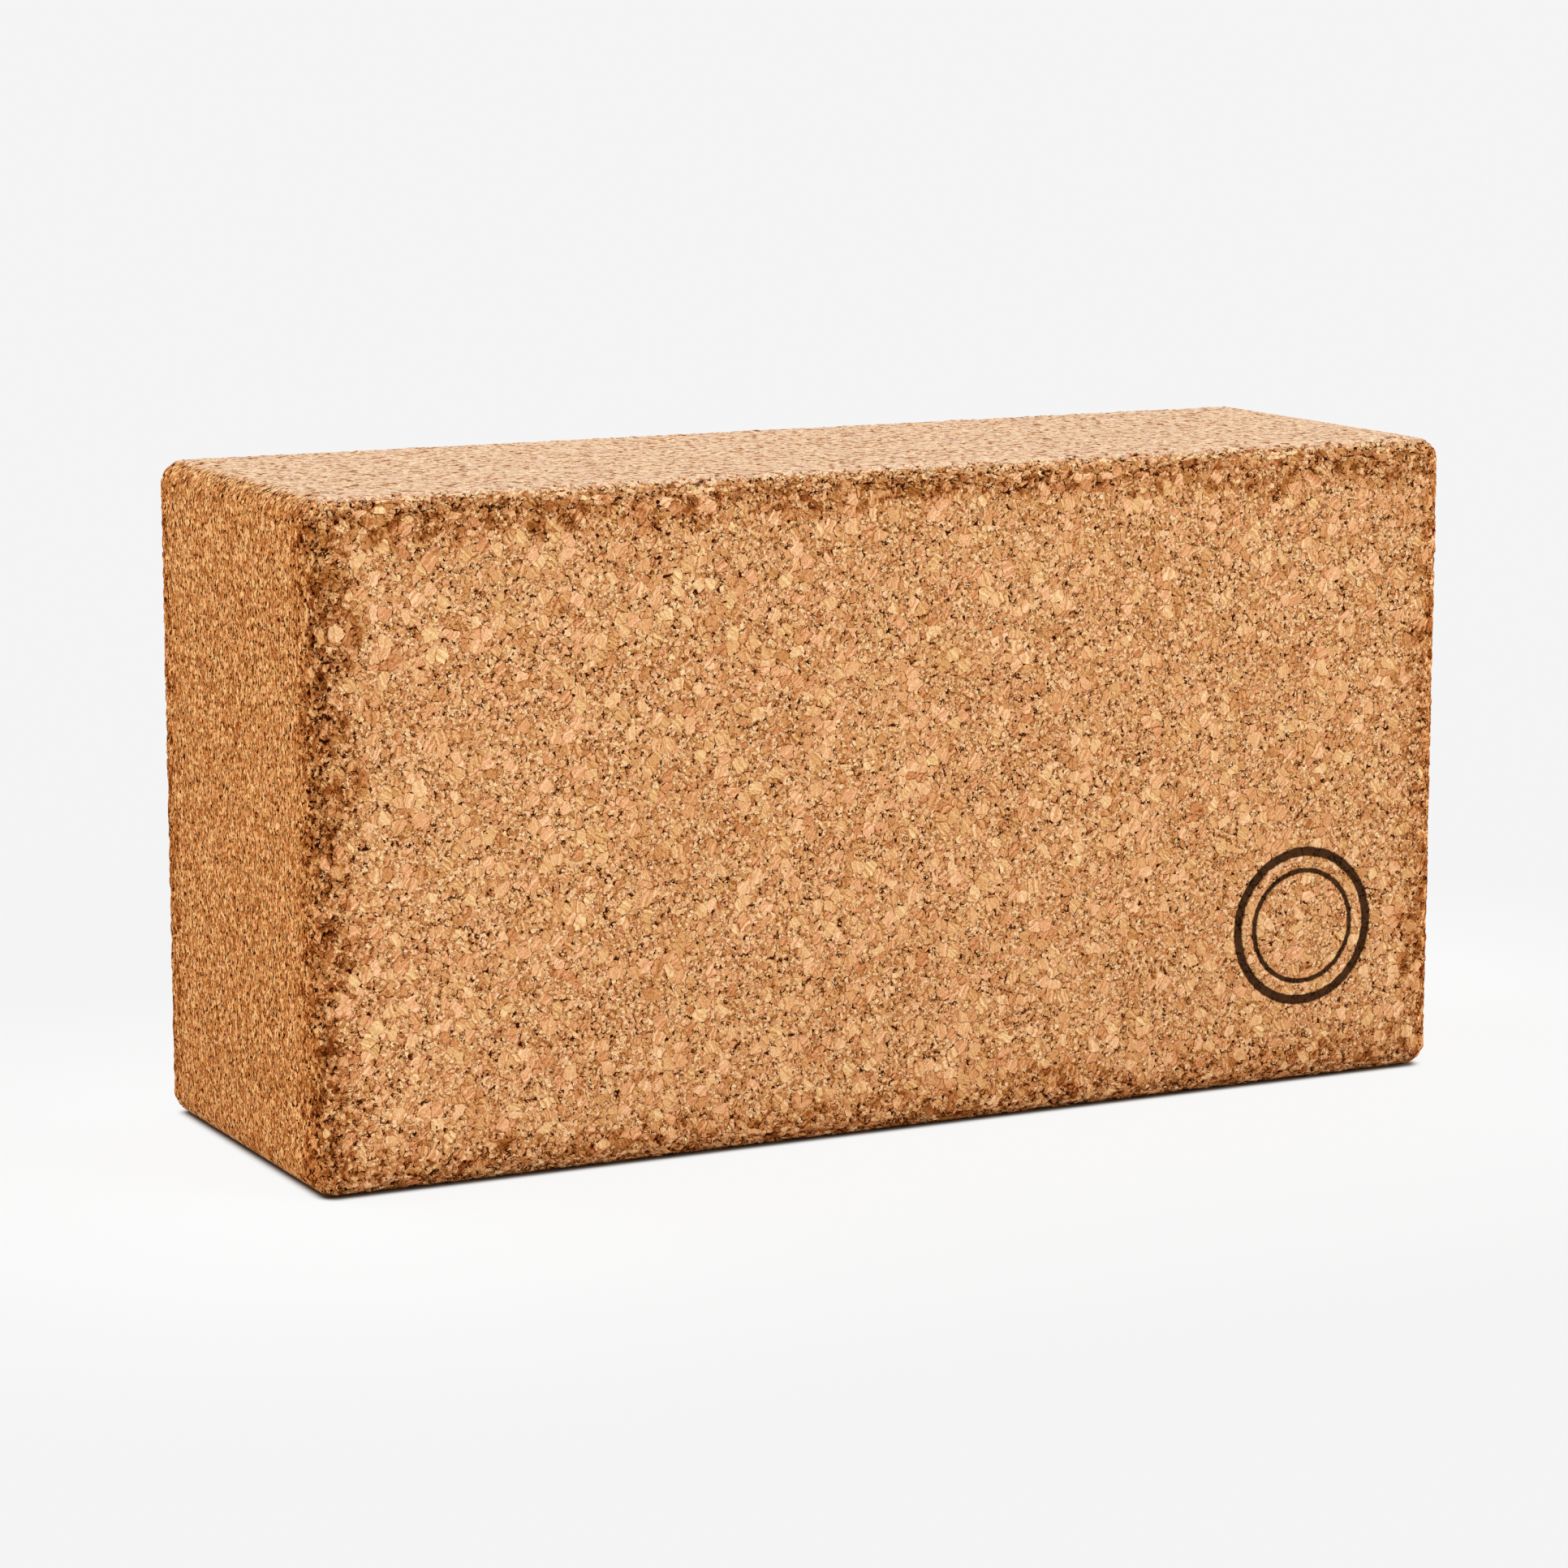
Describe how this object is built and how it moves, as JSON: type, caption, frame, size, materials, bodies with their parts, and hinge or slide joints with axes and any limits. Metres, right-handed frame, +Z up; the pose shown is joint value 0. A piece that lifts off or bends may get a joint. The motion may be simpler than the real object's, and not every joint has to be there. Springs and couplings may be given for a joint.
{
  "type": "yoga block",
  "caption": "Solid brick of pressed cork with rounded edges, to stand, lie or prop a hand, foot or back on at one of its heights.",
  "frame": {"origin": "middle of the long side that the block stands on", "axes": "+X along the length, +Y through the thickness from the front large face to the back one, +Z up"},
  "size_m": [0.227, 0.076, 0.12],
  "materials": {
    "cork": "raw pressed cork, matt and granular"
  },
  "bodies": {
    "root": {"cork_block": "cork"}
  },
  "joints": []
}
